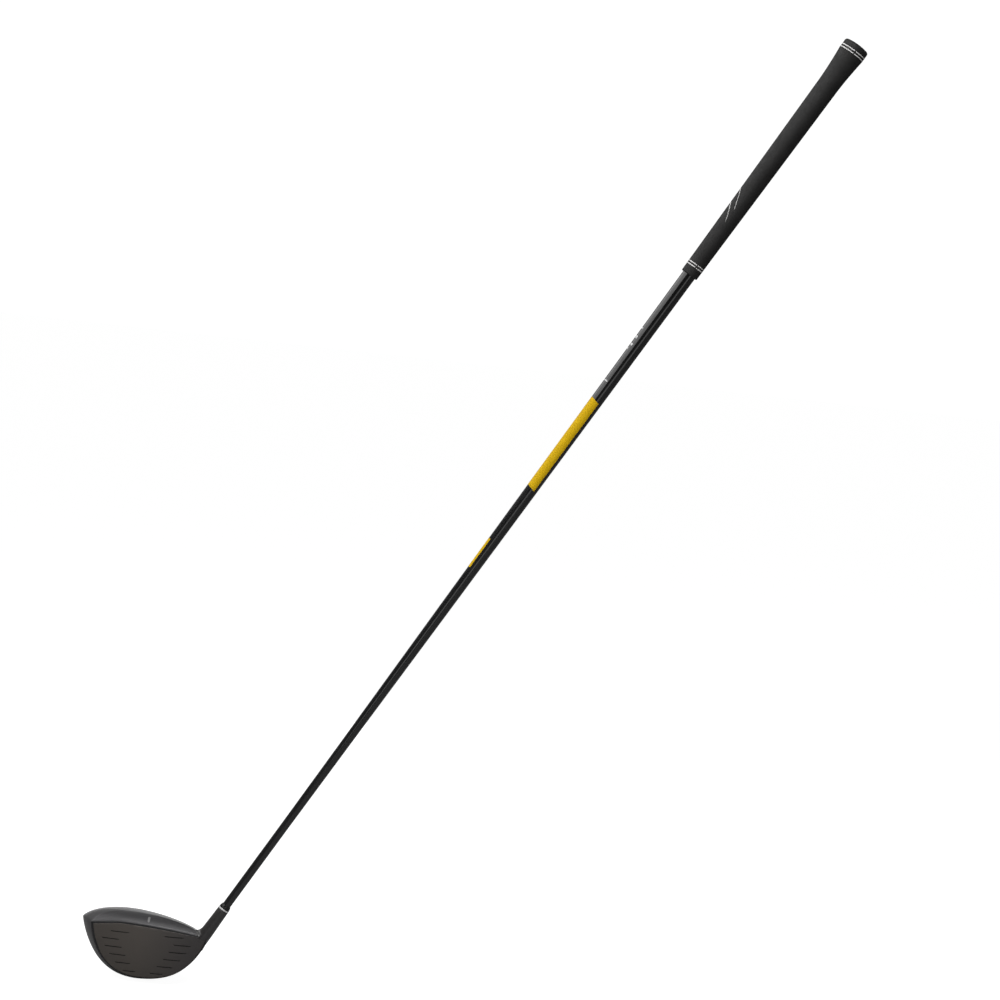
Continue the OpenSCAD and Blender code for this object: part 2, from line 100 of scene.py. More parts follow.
def blend4(values, turn):
    """Goes toe, heel, back, front around the head by cosines of the turn and of twice the turn."""
    toe, heel, back, front = values
    return (
        (toe + heel + back + front) / 4
        + (heel - toe) / 2 * np.cos(turn)
        + (back - front) / 2 * np.sin(turn)
        + (toe + heel - back - front) / 4 * np.cos(2 * turn)
    )


def parting(turn):
    """The parting line: a superellipse with its own reach and power in each quarter, leaned to the toe."""
    c, s = np.cos(turn), np.sin(turn)
    across = np.where(c > 0, heel_reach, toe_reach)
    along = np.where(s > 0, back_reach, front_reach)
    behind = np.where(c > 0, outline_powers["heel_back"], outline_powers["toe_back"])
    ahead = np.where(c > 0, outline_powers["heel_front"], outline_powers["toe_front"])
    power = np.where(s > 0, behind, ahead)
    r = ((np.abs(c) / across) ** power + (np.abs(s) / along) ** power) ** (-1 / power)
    x = head_mid[0] + r * c
    y = head_mid[1] + r * s - outline_lean * r * c
    return np.stack([x, y, blend4(parting_heights, turn)], -1)


def face_depth(x, z):
    """The face: a lofted plane with a parabola added across it (bulge) and one up it (roll)."""
    up = z - face_level
    return face_place + up * np.tan(loft) + (x**2 + up**2) / (2 * face_radius)


def sole_at(share, turn):
    """The sole from its flat (share 0) to the parting line (1): a superellipse section for each turn."""
    rim = parting(turn)
    inner = np.clip(1 - share ** blend4(sole_powers_out, turn), 0, 1)
    lift = 1 - inner ** (1 / blend4(sole_powers_in, turn))
    z = np.maximum(0, (rim[..., 2] + sole_cut) * lift - sole_cut)
    return np.stack([share * rim[..., 0], share * rim[..., 1], z], -1)


def halve(outside, inside, is_inside, steps=40):
    """Finds by halving where is_inside changes between two arrays of numbers."""
    for _ in range(steps):
        middle = (outside + inside) / 2
        found = is_inside(middle)
        inside = np.where(found, middle, inside)
        outside = np.where(found, outside, middle)
    return inside


def behind_face(points):
    return points[..., 1] >= face_depth(points[..., 0], points[..., 2])


def thinner(points, wall):
    """Moves points by a wall's thickness toward the middle of the head."""
    away = points - head_core
    return head_core + away * (1 - wall / np.linalg.norm(away, axis=-1, keepdims=True))


def new_piece(name, mesh, sharp_above):
    """Makes an object of a mesh, shaded smooth except over edges sharper than an angle in degrees."""
    mesh.shade_smooth()
    mesh.set_sharp_from_angle(angle=np.radians(sharp_above))
    piece = bpy.data.objects.new(name, mesh)
    bpy.context.scene.collection.objects.link(piece)
    return piece


def skin(name, rings, start=None, end=None, sharp_above=40):
    """Joins closed rings of points into one closed surface: with a fan to a pole at each end, or,
    with no poles, from the last ring back to the first."""
    count, around = rings.shape[:2]
    points = rings.reshape(-1, 3)
    loop = start is None
    row = np.arange(count if loop else count - 1)[:, None] * around
    here = np.arange(around)[None, :]
    after = (here + 1) % around
    over = (row + around) % (count * around)
    quads = np.stack([row + here, row + after, over + after, over + here], -1).reshape(-1, 4)
    corners = points[quads]
    volume = np.einsum("ij,ij->", corners[:, 0], np.cross(corners[:, 1], corners[:, 2]))
    volume += np.einsum("ij,ij->", corners[:, 0], np.cross(corners[:, 2], corners[:, 3]))
    faces = quads.tolist()
    if not loop:
        last = (count - 1) * around
        first_pole = np.full_like(here[0], len(points))
        last_pole = first_pole + 1
        faces += np.stack([first_pole, after[0], here[0]], -1).tolist()
        faces += np.stack([last_pole, last + here[0], last + after[0]], -1).tolist()
        points = np.vstack([points, start, end])
    mesh = bpy.data.meshes.new(name)
    mesh.from_pydata(points, [], faces)
    if volume < 0:
        mesh.flip_normals()
    return new_piece(name, mesh, sharp_above)


def finish(name, colour, roughness, metallic=0.0, coat=0.0, coat_roughness=0.05, specular=0.5):
    """A Principled material. Its even values sit on the shader's own sockets."""
    material = bpy.data.materials.new(name)
    material.use_nodes = True
    tree = material.node_tree
    shader = tree.nodes["Principled BSDF"]
    shader.inputs["Base Color"].default_value = (*colour, 1)
    shader.inputs["Roughness"].default_value = roughness
    shader.inputs["Metallic"].default_value = metallic
    shader.inputs["Coat Weight"].default_value = coat
    shader.inputs["Coat Roughness"].default_value = coat_roughness
    shader.inputs["Specular IOR Level"].default_value = specular
    return material, tree, shader


def noise_on(tree, size, stretch=(1, 1, 1), turn=(0, 0, 0), detail=3):
    """A noise on Object coordinates whose grains are about size metres across, stretched and turned."""
    place = tree.nodes.new("ShaderNodeTexCoord")
    mapping = tree.nodes.new("ShaderNodeMapping")
    mapping.inputs["Rotation"].default_value = turn
    mapping.inputs["Scale"].default_value = stretch
    noise = tree.nodes.new("ShaderNodeTexNoise")
    noise.inputs["Scale"].default_value = 1 / size
    noise.inputs["Detail"].default_value = detail
    tree.links.new(place.outputs["Object"], mapping.inputs["Vector"])
    tree.links.new(mapping.outputs["Vector"], noise.inputs["Vector"])
    return noise.outputs["Fac"]


def relief(tree, shader, height, strength, distance):
    """Raises a shader's surface by a height pattern, in metres."""
    bump = tree.nodes.new("ShaderNodeBump")
    bump.inputs["Strength"].default_value = strength
    bump.inputs["Distance"].default_value = distance
    tree.links.new(height, bump.inputs["Height"])
    tree.links.new(bump.outputs["Normal"], shader.inputs["Normal"])


def between(tree, pattern, low, high, socket, ends=(0.3, 0.7)):
    """Lets a pattern move one of a shader's numbers from low to high."""
    span = tree.nodes.new("ShaderNodeMapRange")
    span.inputs["From Min"].default_value, span.inputs["From Max"].default_value = ends
    span.inputs["To Min"].default_value = low
    span.inputs["To Max"].default_value = high
    tree.links.new(pattern, span.inputs["Value"])
    tree.links.new(span.outputs["Result"], socket)


# The face cuts the head between two corners, found by halving along the parting line. The lines
# of the sole stop on the parting line behind them and on the face between them.
front_turn = np.array([1.5 * np.pi])
toe_turn = halve(front_turn, front_turn - np.pi / 2, lambda t: behind_face(parting(t)))[0]
heel_turn = halve(front_turn, front_turn + past_heel, lambda t: behind_face(parting(t)))[0]
toe_corner, heel_corner = parting(toe_turn), parting(heel_turn)
back_turns = np.linspace(heel_turn - 2 * np.pi, toe_turn, back_count, endpoint=False)
front_shares = np.linspace(0, 1, front_count, endpoint=False)
front_turns = toe_turn + (heel_turn - toe_turn) * (1 - np.cos(np.pi * front_shares)) / 2
front_reaches = halve(
    np.ones(front_count),
    np.full(front_count, 0.1),
    lambda share: behind_face(sole_at(share, front_turns)),
)
low_edge = sole_at(front_reaches, front_turns)
sole_turns = np.concatenate([back_turns, front_turns])
sole_reaches = np.concatenate([np.ones(back_count), front_reaches])
sole_shares = 1 - (1 - np.linspace(sole_first_share, 1, sole_rows)) ** sole_crowding
sole_outside = np.stack([sole_at(share * sole_reaches, sole_turns) for share in sole_shares])
sole_inside = thinner(sole_outside[::-inner_every], shell_wall)
sole = skin(
    "sole",
    np.concatenate([sole_outside, sole_inside]),
    np.zeros(3),
    np.array([0, 0, shell_wall]),
)

weight_share = 0.6
weight_slope_step = 0.02
weight_radius = 0.0076
drill_reach = 0.01
back_turn = np.array(np.pi / 2)
weight_place = sole_at(np.array(weight_share), back_turn)
weight_slope = sole_at(np.array(weight_share + weight_slope_step), back_turn) - weight_place
weight_tilt = np.arctan2(weight_slope[2], weight_slope[1])
drill_turns = np.linspace(0, 2 * np.pi, 96, endpoint=False)
drill_ring = np.stack([np.cos(drill_turns), np.sin(drill_turns), 0 * drill_turns], -1) * weight_radius
tilt = np.array(Matrix.Rotation(weight_tilt, 3, "X"))
drill_depth = np.array([[[0, 0, -drill_reach]], [[0, 0, drill_reach]]])
drill = skin(
    "drill",
    (drill_ring[None] + drill_depth) @ tilt.T + weight_place,
    tilt @ drill_depth[0, 0] + weight_place,
    tilt @ drill_depth[1, 0] + weight_place,
)
hole = sole.modifiers.new("weight_hole", "BOOLEAN")
hole.object = drill
hole.solver = "EXACT"
drilled = bpy.data.meshes.new_from_object(sole.evaluated_get(bpy.context.evaluated_depsgraph_get()))
sole.modifiers.clear()
sole.data = drilled
bpy.data.objects.remove(drill)

sole_paint, tree, shader = finish(
    "sole_paint", (0.047, 0.046, 0.048), 0.36, metallic=0.5, coat=0.25, coat_roughness=0.25
)
relief(tree, shader, noise_on(tree, 0.0004), 0.06, 0.0001)
between(tree, noise_on(tree, 0.02), 0.33, 0.42, shader.inputs["Roughness"])
sole.data.materials.clear()
sole.data.materials.append(sole_paint)
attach(sole, "root")
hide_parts("sole_shell")

# ---- Crown ----
# The upper shell, also 0.9 mm titanium, painted satin charcoal under a clear coat. It is bonded
# to the sole along the parting line and rolls over into the face's top edge.
crown_mid = np.array([-0.018, -0.0087])
crown_top = 0.0668
crown_powers = (2.44, 0.75)
face_top = 0.0577
face_top_x = -0.0214
face_top_powers = (1.16, 1.93)
lip_height = 0.0009
lip_rise_power = 14
lip_fall_power = 30
crown_rows = 72
crown_first_share = 0.02
crown_crowding = 2.4


def face_top_edge(x):
    """The face's top edge over places across the head: it falls from its high point by a power."""
    toe_side = x < face_top_x
    end_x = np.where(toe_side, toe_corner[0], heel_corner[0])
    end_z = np.where(toe_side, toe_corner[2], heel_corner[2])
    power = np.where(toe_side, face_top_powers[0], face_top_powers[1])
    z = face_top - (face_top - end_z) * np.clip((x - face_top_x) / (end_x - face_top_x), 0, 1) ** power
    return np.stack([x, face_depth(x, z), z], -1)


def crown_at(rim, share):
    """The crown from its top (share 0) to its rim (1): level lines of the rim, lifted by a power curve."""
    lift = (1 - share ** crown_powers[0]) ** crown_powers[1]
    flat = crown_mid + share * (rim[..., :2] - crown_mid)
    z = rim[..., 2] + (crown_top - rim[..., 2]) * lift
    return np.concatenate([flat, z[..., None]], -1)


top_edge = face_top_edge(toe_corner[0] + front_shares * (heel_corner[0] - toe_corner[0]))
crown_rim = np.concatenate([parting(back_turns), top_edge])
crown_shares = 1 - (1 - np.linspace(crown_first_share, 1, crown_rows)) ** crown_crowding
crown_outside = np.stack([crown_at(crown_rim, share) for share in crown_shares])

# A low soft lip above the face: a high power of the share, brought back to nothing at the edge.
along_face = np.concatenate([np.zeros(back_count), np.sin(np.pi * front_shares) ** 0.5])
lip_profile = (1 - crown_shares**lip_fall_power) * crown_shares**lip_rise_power
crown_outside[..., 2] += lip_height * np.outer(lip_profile, along_face)
crown_inside = thinner(crown_outside[::-inner_every], shell_wall)
crown_peak = np.array([*crown_mid, crown_top])
crown = skin(
    "crown",
    np.concatenate([crown_outside, crown_inside]),
    crown_peak,
    thinner(crown_peak, shell_wall),
)
crown_paint, tree, shader = finish(
    "crown_paint", (0.071, 0.069, 0.072), 0.46, metallic=0.5, coat=0.3, coat_roughness=0.25
)
relief(tree, shader, noise_on(tree, 0.0004), 0.05, 0.0001)
between(tree, noise_on(tree, 0.02), 0.42, 0.5, shader.inputs["Roughness"])
crown.data.materials.append(crown_paint)
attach(crown, "root")
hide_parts("crown_plate")

# ---- Face ----
# A forged titanium plate 3 mm thick with milled score lines and a smoked satin finish. Its colour
# carries painted shade: darker toward the heel, and near black in the score lines. It is welded into
# the head along its edge, where a dark seam shows, partly the joint and partly painted shade.
face_mid = np.array([0.006, 0.030])
face_wall = 0.003
seam_top_places = (-0.058, -0.03, 0.0, 0.03, 0.055)
seam_top_widths = (0.0014, 0.0013, 0.0014, 0.0018, 0.003)
seam_low_places = (-0.05, 0.0, 0.03, 0.045, 0.055)
seam_low_widths = (0.0006, 0.0006, 0.001, 0.002, 0.003)
seam_depth = 0.0004
groove_rows = ((0.28, 0.565), (0.425, 0.69), (0.37, 0.635), (0.295, 0.55), (0.21, 0.44), (0.115, 0.31))
groove_unit = (toe_reach + heel_reach) / 2
groove_mid = 0.0075
groove_high = 0.0482
groove_gap = 0.0074
groove_width = 0.0009
groove_depth = 0.0005
groove_steepness = 2.2
groove_end_steepness = 2
groove_end_start = 0.6
face_step = 0.0008
face_span = (-0.062, 0.07)
face_height = 0.06
line_spacing = 0.0003
merge_distance = 0.00004

face_edge = np.concatenate([top_edge, [heel_corner], low_edge[:0:-1]])[:, [0, 2]]
edge_away = face_edge - face_mid
edge_length = np.linalg.norm(edge_away, axis=1)
toward_toe = -edge_away[:, 0]
seam_width = np.where(
    edge_away[:, 1] > 0,
    np.interp(toward_toe, seam_top_places, seam_top_widths),
    np.interp(toward_toe, seam_low_places, seam_low_widths),
)


def face_points(flat, recess=0.0):
    """Lifts flat places (across, up) onto the face, pushed in by a recess."""
    return np.stack([flat[..., 0], face_depth(flat[..., 0], flat[..., 1]) + recess, flat[..., 1]], -1)


def inset(width):
    """The face's edge moved in toward its middle by a width at each place."""
    return face_mid + edge_away * (1 - width / edge_length)[:, None]


# Score lines in pairs about the face's middle, and the grid lines that follow their cross section.
groove_centres = groove_high - groove_gap * np.arange(len(groove_rows))
groove_profile = np.array([-0.75, -0.5, -0.4, -0.2, 0, 0.2, 0.4, 0.5, 0.75]) * groove_width
groove_ends = groove_mid + np.outer([-1, 1], np.ravel(groove_rows) * groove_unit).ravel()
groove_end_steps = np.array([-0.6, -0.3, 0, 0.3, 0.6]) * groove_width


def lines_at(regular, special, near):
    """Grid lines: the special ones, and the regular ones that aren't near a special one."""
    distance = np.abs(regular[:, None] - special[None, :]).min(1)
    return np.unique(np.concatenate([regular[distance > near], special]).round(7))


end_columns = np.unique((groove_ends[:, None] + groove_end_steps).round(6))
columns = lines_at(np.arange(*face_span, face_step), end_columns, line_spacing)
groove_lines = (groove_centres[:, None] + groove_profile).ravel()
rows = lines_at(np.arange(0, face_height, face_step), groove_lines, line_spacing)
flat = np.stack(np.meshgrid(columns, rows), -1)

# A place on the grid is inside the plate where a line to it from the toe side has crossed the edge
# an odd number of times. Cells with a corner inside are kept, and their outer corners move onto it.
plate_edge = inset(seam_width)
edge_next = np.roll(plate_edge, -1, 0)
edge_x, edge_z = plate_edge[:, None, 0], plate_edge[:, None, 1]
next_x, next_z = edge_next[:, None, 0], edge_next[:, None, 1]
spans_row = (edge_z > rows) != (next_z > rows)
row_share = (rows - edge_z) / np.where(spans_row, next_z - edge_z, 1)
cut_x = np.where(spans_row, edge_x + row_share * (next_x - edge_x), np.inf)
inside = np.sum(cut_x[:, :, None] < columns, 0) % 2 == 1
cell_inside = inside[:-1, :-1] | inside[1:, :-1] | inside[:-1, 1:] | inside[1:, 1:]
kept = np.zeros_like(inside)
kept[:-1, :-1] |= cell_inside
kept[1:, :-1] |= cell_inside
kept[:-1, 1:] |= cell_inside
kept[1:, 1:] |= cell_inside
outside_places = flat[kept & ~inside]
nearest = np.linalg.norm(outside_places[:, None] - plate_edge[None], axis=2).argmin(1)
flat[kept & ~inside] = plate_edge[nearest]

groove_sink = np.zeros(flat.shape[:2])
for centre, (start, stop) in zip(groove_centres, groove_rows):
    off_line = np.abs(flat[..., 1] - centre) / (groove_width / 2)
    off_middle = np.abs(flat[..., 0] - groove_mid) / groove_unit
    ends_off = np.maximum(start - off_middle, off_middle - stop) * groove_unit / (groove_width / 2)
    cut = np.clip(groove_steepness * (1 - off_line), 0, 1)
    cut = cut * np.clip(groove_end_start - groove_end_steepness * ends_off, 0, 1)
    groove_sink = np.maximum(groove_sink, cut)
plate_points = face_points(flat, groove_depth * groove_sink)
number = np.full(inside.shape, -1)
number[kept] = np.arange(kept.sum())
cells = np.stack([number[:-1, :-1], number[:-1, 1:], number[1:, 1:], number[1:, :-1]], -1)[cell_inside]
plate_mesh = bpy.data.meshes.new("face")
plate_mesh.from_pydata(plate_points[kept], [], cells.tolist())
cut_depth = plate_mesh.attributes.new("cut_depth", "FLOAT", "POINT")
cut_depth.data.foreach_set("value", groove_sink[kept].astype(np.float32))
face = new_piece("face", plate_mesh, 55)
tidy = bmesh.new()
tidy.from_mesh(plate_mesh)
bmesh.ops.remove_doubles(tidy, verts=tidy.verts, dist=merge_distance)
bmesh.ops.dissolve_degenerate(tidy, edges=tidy.edges, dist=merge_distance / 4)
tidy.to_mesh(plate_mesh)
tidy.free()
thickness = face.modifiers.new("thickness", "SOLIDIFY")
thickness.thickness = face_wall
thickness.offset = -1


def tint(tree, pattern, low, high, socket, ends=(0.3, 0.7)):
    """Lets a pattern move a colour from low to high between two ends."""
    ramp = tree.nodes.new("ShaderNodeValToRGB")
    ramp.color_ramp.elements[0].position, ramp.color_ramp.elements[1].position = ends
    ramp.color_ramp.elements[0].color = (*low, 1)
    ramp.color_ramp.elements[1].color = (*high, 1)
    tree.links.new(pattern, ramp.inputs["Fac"])
    tree.links.new(ramp.outputs["Color"], socket)


def along_axis(tree, letter):
    """How far along one of the world's axes a place on the piece is, in metres."""
    place = tree.nodes.new("ShaderNodeTexCoord")
    split = tree.nodes.new("ShaderNodeSeparateXYZ")
    tree.links.new(place.outputs["Object"], split.inputs["Vector"])
    return split.outputs[letter]


face_finish, tree, shader = finish("face_finish", (0.1, 0.09, 0.082), 0.42, metallic=0.85)
brushing = noise_on(tree, 0.0012, stretch=(0.06, 1, 1))
relief(tree, shader, brushing, 0.1, 0.0001)
# Painted shade: the colour goes near black with each point's cut depth, standing in for the shade inside
# the score lines.
cut_node = tree.nodes.new("ShaderNodeAttribute")
cut_node.attribute_name = "cut_depth"
groove_shade_mix = tree.nodes.new("ShaderNodeMix")
groove_shade_mix.data_type = "RGBA"
# Painted light: the colour runs from a lighter brown on the toe side to a darker grey toward the heel. This
# stands in for the broad reflection of the front lights falling off across the face.
lit_face_brown, shaded_face_grey = (0.106, 0.095, 0.086), (0.072, 0.067, 0.066)
tint(tree, along_axis(tree, "X"), lit_face_brown, shaded_face_grey, groove_shade_mix.inputs["A"], (0, 0.05))
groove_shade_mix.inputs["B"].default_value = (0.012, 0.011, 0.011, 1)
tree.links.new(cut_node.outputs["Fac"], groove_shade_mix.inputs["Factor"])
tree.links.new(groove_shade_mix.outputs["Result"], shader.inputs["Base Color"])
face.data.materials.append(face_finish)
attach(face, "root")
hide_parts("face_plate")

# The seam strip is a shallow channel painted near black and widest at the toe. It is partly the weld joint
# and partly painted shade standing in for the face's rounded edge turned from the light.
seam_shares = np.linspace(0, 1, 7)
seam_rows = [face_points(inset(seam_width * s), seam_depth * np.sin(np.pi * s) ** 0.5) for s in seam_shares]
seam_back = [row + np.array([0, face_wall, 0]) for row in seam_rows[::-3]]
seam = skin("face_seam", np.stack(seam_rows + seam_back))
seam_paint_and_edge_shade, tree, shader = finish("seam_paint_and_edge_shade", (0.012, 0.012, 0.013), 0.5, specular=0.3)
relief(tree, shader, noise_on(tree, 0.0006), 0.2, 0.0001)
seam.data.materials.append(seam_paint_and_edge_shade)
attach(seam, "root")
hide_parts("face_frame")

# ---- Hosel ----
# The neck that holds the shaft, cast with the head and painted gloss black. It tapers up to its
# top and flows into the crown with a fillet, widest on the toe side.
hosel_low, hosel_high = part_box("hosel")
lie = np.radians(60)
ground_x = 0.03388
axis = np.array([np.cos(lie), 0, np.sin(lie)])
side = np.array([axis[2], 0, -axis[0]])
ahead = np.array([0, 1, 0])
axis_y = (hosel_low.y + hosel_high.y) / 2
ground = np.array([ground_x, axis_y, 0])
hosel_top = 0.092
hosel_bottom = 0.047
bore_bottom = 0.056
bore_radius = 0.00435
hosel_radius_top = 0.00575
hosel_radius_root = 0.0065
hosel_bevel = 0.0003
root_radii = (0.004, 0.0055)
root_top = 0.064
fillet_out = (0.0008, 0.0055)
fillet_up = (0.004, 0.0085)
fillet_turn = np.radians(160)
curve_steps = np.linspace(0, 1, 17)[:, None]
foot_slope = 0.9
foot_sink = 0.0012
foot_tuck = 0.0002
around_count = 128
around = np.linspace(0, 2 * np.pi, around_count, endpoint=False)


def on_axis(up, radius, turn):
    """A place at a height up the shaft's axis, at a radius, at a turn: 0 faces the heel, 90 the back."""
    up, radius, turn = np.broadcast_arrays(up, radius, turn)
    return (
        ground
        + up[..., None] * axis
        + (radius * np.cos(turn))[..., None] * side
        + (radius * np.sin(turn))[..., None] * ahead
    )


# The head's outer skin as triangles, for straight lines to meet.
head_sheets = []
first_corner = 0
for sheet in (sole_outside, crown_outside):
    sheet_rows, sheet_around = sheet.shape[:2]
    corner = first_corner + np.arange(sheet_rows - 1)[:, None] * sheet_around
    here = np.arange(sheet_around)
    after = (here + 1) % sheet_around
    above = corner + sheet_around
    head_sheets.append(np.stack([corner + here, corner + after, above + after], -1).reshape(-1, 3))
    head_sheets.append(np.stack([corner + here, above + after, above + here], -1).reshape(-1, 3))
    first_corner += sheet_rows * sheet_around
head_points = np.concatenate([sole_outside.reshape(-1, 3), crown_outside.reshape(-1, 3)])
head_tree = BVHTree.FromPolygons(head_points.tolist(), np.concatenate(head_sheets).tolist())


def drop(radius, turn):
    """The height at which lines down the axis at a radius and a turn meet the head."""
    reach = hosel_top - hosel_bottom
    starts = on_axis(hosel_top, radius, turn)
    found = [head_tree.ray_cast(Vector(p), Vector(-axis), reach)[3] for p in starts]
    return hosel_top - np.array([reach if f is None else f for f in found])


def curve(start, middle, end):
    """A quadratic curve from start to end that leans toward a middle place."""
    left = 1 - curve_steps
    return left**2 * start + 2 * left * curve_steps * middle + curve_steps**2 * end


toe_share = (1 + np.cos(around - fillet_turn)) / 2
wall_foot = drop(hosel_radius_root, around)
foot_out = np.interp(toe_share**3, [0, 1], fillet_out)
foot_radius = hosel_radius_root + foot_out
foot_height = np.maximum(drop(foot_radius, around), wall_foot - foot_slope * foot_out)
fillet_top = wall_foot + np.interp(toe_share**2, [0, 1], fillet_up)
fillet_height = curve(fillet_top, wall_foot, foot_height)
wall_top = hosel_top - hosel_bevel
wall_heights = wall_top + np.linspace(0, 1, 24)[:-1, None] * (fillet_top - wall_top)


def hosel_radius(up):
    """The hosel's radius at a height: even at its root, then tapering to its top."""
    return np.interp(up, [root_top, hosel_top], [hosel_radius_root, hosel_radius_top])


fillet_radius = curve(0, 0, foot_out) + hosel_radius(fillet_height)

# Rings from the root inside the head, in over the fillet, up the wall and down into the bore.
neck = [on_axis(hosel_bottom, radius, around) for radius in root_radii]
neck.append(on_axis(foot_height - foot_sink, foot_radius - foot_tuck, around))
neck += [on_axis(h, r, around) for h, r in zip(fillet_height[::-1], fillet_radius[::-1])]
neck += [on_axis(h, hosel_radius(h), around) for h in wall_heights[::-1]]
neck += [
    on_axis(hosel_top, hosel_radius_top - hosel_bevel, around),
    on_axis(hosel_top, bore_radius, around),
    on_axis(bore_bottom, bore_radius, around),
]
neck_ends = (on_axis(hosel_bottom, 0, 0), on_axis(bore_bottom, 0, 0))
hosel = skin("hosel", np.stack(neck), *neck_ends, sharp_above=50)
hosel_paint, tree, shader = finish(
    "hosel_paint", (0.038, 0.036, 0.036), 0.3, coat=0.6, coat_roughness=0.12, specular=0.4
)
relief(tree, shader, noise_on(tree, 0.0009), 0.05, 0.0001)
between(tree, noise_on(tree, 0.012), 0.27, 0.36, shader.inputs["Roughness"])
hosel.data.materials.append(hosel_paint)
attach(hosel, "root")
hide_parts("hosel")

# ---- Pieces inside the head, and the weight screw ----
# The machined boss that holds the weight screw, the screw with its hexagon key hole, and a blob
# of tacky glue that catches loose bits. The epoxy in the hosel and the shaft's cork plug are hidden.
def dress(node, material):
    """Gives a carried-over node its material."""
    for slot in bpy.data.objects[node].material_slots:
        slot.material = material


boss_metal, tree, shader = finish("boss_metal", (0.16, 0.16, 0.165), 0.38, metallic=1.0)
relief(tree, shader, noise_on(tree, 0.0003, stretch=(1, 0.1, 0.1)), 0.15, 0.00005)
dress("weight_boss", boss_metal)
screw_metal, tree, shader = finish("screw_metal", (0.4, 0.4, 0.41), 0.28, metallic=1.0)
relief(tree, shader, noise_on(tree, 0.0004), 0.12, 0.00005)
dress("weight_screw", screw_metal)
glue, tree, shader = finish("tacky_glue", (0.58, 0.48, 0.26), 0.3)
relief(tree, shader, noise_on(tree, 0.004), 0.4, 0.0005)
dress("rattle_pad", glue)
epoxy, tree, shader = finish("epoxy", (0.58, 0.54, 0.38), 0.35)
relief(tree, shader, noise_on(tree, 0.002), 0.3, 0.0002)
dress("hosel_bond", epoxy)
cork, tree, shader = finish("cork", (0.42, 0.25, 0.12), 0.85)
tint(tree, noise_on(tree, 0.0008), (0.24, 0.13, 0.06), (0.5, 0.32, 0.17), shader.inputs["Base Color"])
dress("tip_plug", cork)

# ---- Alignment mark ----
# A short pale bar on the crown for lining up the face: paint that fills a shallow pocket and
# follows the crown's curve.
mark_low, mark_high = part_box("alignment_mark")
mark_lift = 0.00003
mark_depth = 0.0002
mark_mid = (mark_low + mark_high) / 2
mark_reach = (mark_high - mark_low) / 2
mark_blunt = 0.99
mark_steps = np.linspace(-1, 1, 5)

# Each end is a half circle: the half width falls by its formula over the last half width.
mark_offsets = mark_reach.y * np.sin(np.linspace(-np.pi / 2, np.pi / 2, 33))
into_end = (np.abs(mark_offsets) - mark_reach.y + mark_reach.x) / mark_reach.x
mark_half_widths = mark_reach.x * np.sqrt(1 - np.clip(into_end, 0, mark_blunt) ** 2)


def crown_height(x, y):
    """The crown's height at a place, where a line dropped from above meets the head."""
    return head_tree.ray_cast(Vector((x, y, 2 * crown_top)), Vector((0, 0, -1)))[0].z


mark_top = np.array(
    [
        [(x, y, crown_height(x, y) + mark_lift) for x in mark_mid.x + half * mark_steps]
        for half, y in zip(mark_half_widths, mark_mid.y + mark_offsets)
    ]
)
mark_under = mark_top[:, ::-1] - np.array([0, 0, mark_depth])
mark_rings = np.concatenate([mark_top, mark_under], 1)
mark = skin("crown_mark", mark_rings, mark_rings[0].mean(0), mark_rings[-1].mean(0), sharp_above=30)
mark_paint, tree, shader = finish("mark_paint", (0.24, 0.24, 0.24), 0.4)
relief(tree, shader, noise_on(tree, 0.0005), 0.1, 0.00005)
between(tree, noise_on(tree, 0.002), 0.34, 0.48, shader.inputs["Roughness"])
mark.data.materials.append(mark_paint)
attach(mark, "root")
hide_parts("alignment_mark")

# ---- Ferrule and its ring ----
# A bright metal ring on top of the hosel, and a short black plastic collar above it that hides
# the step down to the shaft. Both are pushed on and glued.
ring_height = 0.0016
ferrule_height = 0.0042
ferrule_top_radius = 0.0047
tip_radius = 0.00425
ferrule_power = 1.5
ring_edge = 0.00025
ring_inset = 0.00005
ferrule_inset = 0.0001


def turned(name, heights, radii, bore_radii):
    """A tube turned about the shaft's axis: an outer profile of heights and radii, and its bore."""
    bores = np.broadcast_to(bore_radii, heights.shape)
    outer = [on_axis(h, r, around) for h, r in zip(heights, radii)]
    inner = [on_axis(h, r, around) for h, r in zip(heights[::-1], bores[::-1])]
    return skin(name, np.stack(outer + inner))


ring_base = hosel_top + ring_height
edge_curve = np.linspace(0, np.pi / 2, 5)
edge_in = ring_edge * (1 - np.sin(edge_curve))
edge_up = ring_edge * (1 - np.cos(edge_curve))
ring_heights = np.concatenate([hosel_top + edge_up, ring_base - edge_up[::-1]])
ring_radii = hosel_radius_top - ring_inset - np.concatenate([edge_in, edge_in[::-1]])
ring = turned("ferrule_ring_turned", ring_heights, ring_radii, tip_radius)
ring_metal, tree, shader = finish("ring_metal", (0.88, 0.88, 0.88), 0.4, metallic=0.3)
relief(tree, shader, noise_on(tree, 0.0004, stretch=(0.2, 1, 1)), 0.1, 0.00005)
ring.data.materials.append(ring_metal)
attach(ring, "root")
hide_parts("ferrule_ring")

ferrule_shares = np.linspace(0, 1, 22)
ferrule_heights = ring_base + ferrule_height * ferrule_shares
ferrule_widening = hosel_radius_top - ferrule_inset - ferrule_top_radius
ferrule_radii = ferrule_top_radius + ferrule_widening * (1 - ferrule_shares**ferrule_power)
ferrule = turned("ferrule_turned", ferrule_heights, ferrule_radii, tip_radius)
ferrule_plastic, tree, shader = finish("ferrule_plastic", (0.012, 0.012, 0.012), 0.22, specular=0.4)
relief(tree, shader, noise_on(tree, 0.001), 0.05, 0.00005)
ferrule.data.materials.append(ferrule_plastic)
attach(ferrule, "root")
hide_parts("ferrule")
